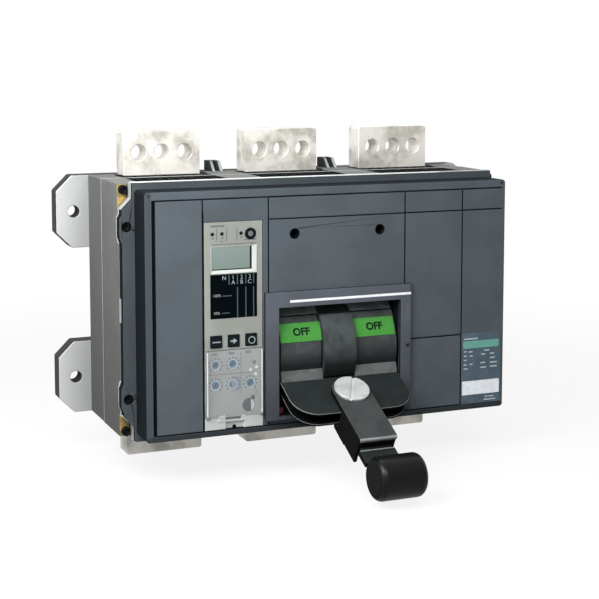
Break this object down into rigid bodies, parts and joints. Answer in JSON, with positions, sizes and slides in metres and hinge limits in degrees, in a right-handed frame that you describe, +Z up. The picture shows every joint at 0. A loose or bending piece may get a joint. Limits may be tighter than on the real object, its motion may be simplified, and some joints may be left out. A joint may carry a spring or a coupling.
{
  "type": "molded case circuit breaker",
  "caption": "Bolt-mounted molded case circuit breaker with a rotary-lever handle, electronic trip unit and flat drilled terminal bars for switching and protecting a power circuit.",
  "frame": {"origin": "middle of the rear mounting plane", "axes": "front faces -Y, width along X, +Z up; +Y is the outward normal of the rear mounting plane"},
  "size_m": [0.414, 0.2801, 0.293],
  "materials": {
    "case_grey": "glass-filled thermoset moulding, mid grey, fine matte grain",
    "flange_grey": "dark blue-grey moulding, satin",
    "cover_grey": "blue-grey moulding, fine satin grain",
    "chute_black": "black moulded vent grilles",
    "plate_steel": "zinc-plated steel, satin",
    "plated_copper": null,
    "yellow_plate": "yellow-passivated zinc-plated steel",
    "black_screw": "black-oxide steel screws",
    "escutcheon_grey": "blue-grey moulding, satin",
    "nameplate_print": "printed film label in slate, green and white",
    "trip_grey": "light warm grey moulding, satin",
    "display_grey": "grey-green liquid crystal display behind a clear window in a light frame",
    "panel_black": "black printed display panel",
    "clear_cover": "clear polycarbonate",
    "key_black": "dark grey keys with printed marks",
    "reset_grey": "grey button",
    "dial_blue": "blue slotted dials",
    "drum_grey": "dark grey moulding, satin",
    "strap_grey": "dark grey moulding, satin",
    "label_green": "green printed band",
    "label_red": "red printed band",
    "lever_black": "black moulding, satin",
    "arm_grey": "pressed steel arm with dark grey satin paint",
    "screw_steel": "turned bright steel screw head",
    "grip_black": "black satin grip"
  },
  "bodies": {
    "breaker": {"rear_case": "case_grey", "middle_case": "case_grey", "barrier_guides": "case_grey", "cover_flange": "flange_grey", "front_cover": "cover_grey", "arc_chute_left": "chute_black", "arc_chute_centre": "chute_black", "arc_chute_right": "chute_black", "upper_mounting_plate": "plate_steel", "lower_mounting_plate": "plate_steel", "upper_terminal_left": "plated_copper", "upper_terminal_centre": "plated_copper", "upper_terminal_right": "plated_copper", "lower_terminal_left": "plated_copper", "lower_terminal_centre": "plated_copper", "lower_terminal_right": "plated_copper", "corner_plates": "yellow_plate", "corner_screws": "black_screw", "flange_screws": "black_screw", "handle_escutcheon": "escutcheon_grey", "nameplate": "nameplate_print", "trip_unit_housing": "trip_grey", "trip_unit_clips": "trip_grey", "rating_plug": "trip_grey", "display_window": "display_grey", "load_panel": "panel_black"},
    "handle": {"handle_drum": "drum_grey", "off_labels": "label_green", "on_labels": "label_red", "handle_strap": "strap_grey", "drum_sills": "drum_grey", "upper_handle_plate": "lever_black", "lower_handle_plate": "lever_black", "handle_core": "lever_black", "handle_arm": "arm_grey", "arm_tongue": "arm_grey", "handle_screw": "screw_steel", "handle_grip": "grip_black"},
    "dial_cover": {"dial_cover": "clear_cover"},
    "menu_key": {"menu_key": "key_black"},
    "select_key": {"select_key": "key_black"},
    "clear_key": {"clear_key": "key_black"},
    "reset_button": {"reset_button": "reset_grey"},
    "dial_1": {"dial_1": "dial_blue"},
    "dial_2": {"dial_2": "dial_blue"},
    "dial_3": {"dial_3": "dial_blue"},
    "dial_4": {"dial_4": "dial_blue"},
    "dial_5": {"dial_5": "dial_blue"}
  },
  "joints": [
    {"name": "handle_turn", "type": "hinge", "parent": "breaker", "child": "handle", "pos_m": [0.005, -0.1135, -0.04], "axis": [-1, 0, 0], "range_deg": [0, 54]},
    {"name": "dial_cover_hinge", "type": "hinge", "parent": "breaker", "child": "dial_cover", "pos_m": [-0.0915, -0.1619, -0.0858], "axis": [1, 0, 0], "range_deg": [0, 100]},
    {"name": "menu_key_push", "type": "slide", "parent": "breaker", "child": "menu_key", "axis": [0, 1, 0], "range_m": [0, 0.0012], "stiffness_N_per_m": 1500},
    {"name": "select_key_push", "type": "slide", "parent": "breaker", "child": "select_key", "axis": [0, 1, 0], "range_m": [0, 0.0012], "stiffness_N_per_m": 1500},
    {"name": "clear_key_push", "type": "slide", "parent": "breaker", "child": "clear_key", "axis": [0, 1, 0], "range_m": [0, 0.0012], "stiffness_N_per_m": 1500},
    {"name": "reset_push", "type": "slide", "parent": "breaker", "child": "reset_button", "axis": [0, 1, 0], "range_m": [0, 0.0012], "stiffness_N_per_m": 1500},
    {"name": "dial_1_turn", "type": "hinge", "parent": "breaker", "child": "dial_1", "pos_m": [-0.1077, -0.16, -0.0429], "axis": [0, 1, 0], "range_deg": [-150, 150]},
    {"name": "dial_2_turn", "type": "hinge", "parent": "breaker", "child": "dial_2", "pos_m": [-0.0924, -0.16, -0.0429], "axis": [0, 1, 0], "range_deg": [-150, 150]},
    {"name": "dial_3_turn", "type": "hinge", "parent": "breaker", "child": "dial_3", "pos_m": [-0.1077, -0.16, -0.06], "axis": [0, 1, 0], "range_deg": [-150, 150]},
    {"name": "dial_4_turn", "type": "hinge", "parent": "breaker", "child": "dial_4", "pos_m": [-0.0924, -0.16, -0.06], "axis": [0, 1, 0], "range_deg": [-150, 150]},
    {"name": "dial_5_turn", "type": "hinge", "parent": "breaker", "child": "dial_5", "pos_m": [-0.077, -0.16, -0.06], "axis": [0, 1, 0], "range_deg": [-150, 150]}
  ]
}
